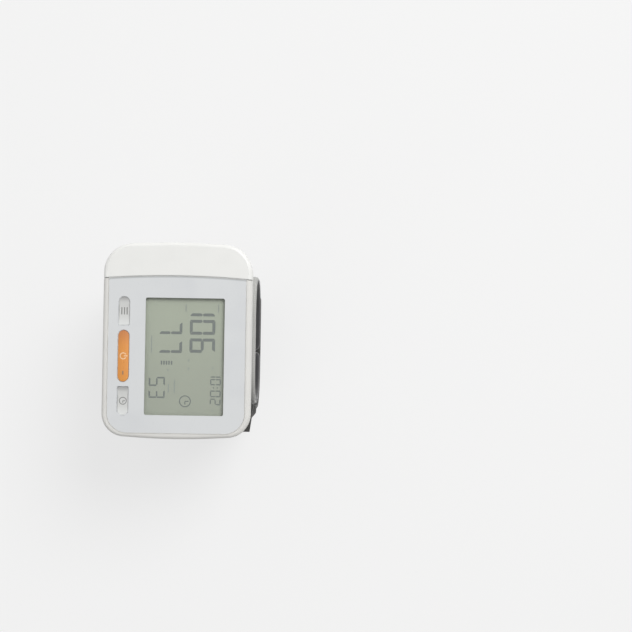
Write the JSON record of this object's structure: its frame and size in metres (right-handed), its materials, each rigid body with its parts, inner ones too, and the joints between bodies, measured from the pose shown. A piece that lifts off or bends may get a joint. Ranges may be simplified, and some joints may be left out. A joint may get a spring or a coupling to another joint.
{
  "type": "wrist blood pressure monitor",
  "caption": "Boxy case with a segment display, push buttons and a sliding battery cover, on a padded cuff with a swinging strap round a wrist opening.",
  "frame": {"origin": "middle of the flat underside of the strap, on which the monitor stands", "axes": "+Z the way the display faces, +X the reading direction of the digits, +Y the top of the digits"},
  "size_m": [0.0822, 0.0626, 0.0811],
  "materials": {
    "shell": "warm white moulded plastic",
    "panel": "cool white satin plate",
    "cover": "neutral white moulded plastic",
    "lens": "clear window",
    "display": "grey-green reflective display",
    "button_grey": "pale grey button",
    "button_orange": "orange satin button",
    "inner_plastic": "grey moulded plastic",
    "circuit_board": "green solder mask",
    "black_plastic": "black moulded plastic",
    "steel": "plated steel",
    "copper": "enamelled copper winding",
    "hose": "pale silicone hose",
    "cell": "plain jacket of an AAA cell",
    "cradle": "dark grey moulded plastic",
    "sleeve": "light grey laminated cloth",
    "lining": "dark brushed cloth",
    "bladder": "thin grey film",
    "strap": "dark woven webbing",
    "fastener_pads": "hook and loop tape"
  },
  "bodies": {
    "monitor": {"front_shell": "shell", "rear_shell": "shell", "front_panel": "panel", "display_lens": "lens", "display_glass": "display", "display_frame": "inner_plastic", "pump_head": "inner_plastic", "pump_bracket": "inner_plastic", "air_manifold": "inner_plastic", "cuff_nipple": "inner_plastic", "cuff_stiffener": "inner_plastic", "main_board": "circuit_board", "controller_chip": "black_plastic", "buzzer": "black_plastic", "memory_switch": "black_plastic", "start_switch": "black_plastic", "set_switch": "black_plastic", "pressure_sensor": "black_plastic", "zebra_strip_1": "black_plastic", "zebra_strip_2": "black_plastic", "bridge_contact": "steel", "minus_contact": "steel", "plus_contact": "steel", "case_screw_1": "steel", "case_screw_2": "steel", "cradle_screw_1": "steel", "cradle_screw_2": "steel", "strap_pin": "steel", "pump_motor": "steel", "valve_yoke": "steel", "valve_spring": "steel", "valve_coil": "copper", "pump_hose": "hose", "valve_hose": "hose", "sensor_hose": "hose", "cell_1": "cell", "cell_2": "cell", "cradle": "cradle", "cuff_sleeve": "sleeve", "cuff_lining": "lining", "air_bladder": "bladder", "loop_pad": "fastener_pads"},
    "battery_cover": {"battery_cover": "cover"},
    "memory_button": {"memory_button": "button_grey", "memory_plunger": "inner_plastic"},
    "start_button": {"start_button": "button_orange", "start_plunger": "inner_plastic"},
    "set_button": {"set_button": "button_grey", "set_plunger": "inner_plastic"},
    "strap": {"strap": "strap", "strap_pad": "lining", "hook_pad": "fastener_pads", "pull_tab": "black_plastic"},
    "pump_rotor": {"pump_rotor": "copper"},
    "valve_plunger": {"valve_plunger": "steel"}
  },
  "joints": [
    {"name": "memory_press", "type": "slide", "parent": "monitor", "child": "memory_button", "axis": [0, 0, -1], "range_m": [0, 0.0006], "stiffness_N_per_m": 500, "springref_m": -0.0008},
    {"name": "start_press", "type": "slide", "parent": "monitor", "child": "start_button", "axis": [0, 0, -1], "range_m": [0, 0.0006], "stiffness_N_per_m": 500, "springref_m": -0.0008},
    {"name": "set_press", "type": "slide", "parent": "monitor", "child": "set_button", "axis": [0, 0, -1], "range_m": [0, 0.0006], "stiffness_N_per_m": 500, "springref_m": -0.0008},
    {"name": "battery_cover_slide", "type": "slide", "parent": "monitor", "child": "battery_cover", "axis": [-1, 0, 0], "range_m": [0, 0.028]},
    {"name": "strap_swing", "type": "hinge", "parent": "monitor", "child": "strap", "pos_m": [0.03785, 0, 0.051], "axis": [0, -1, 0], "range_deg": [0, 70]},
    {"name": "pump_spin", "type": "hinge", "parent": "monitor", "child": "pump_rotor", "pos_m": [0.02605, 0.0155, 0.0619], "axis": [1, 0, 0], "continuous": true},
    {"name": "valve_stroke", "type": "slide", "parent": "monitor", "child": "valve_plunger", "axis": [1, 0, 0], "range_m": [0, 0.0008], "stiffness_N_per_m": 150, "springref_m": -0.0005, "deforming": ["valve_spring"]}
  ]
}
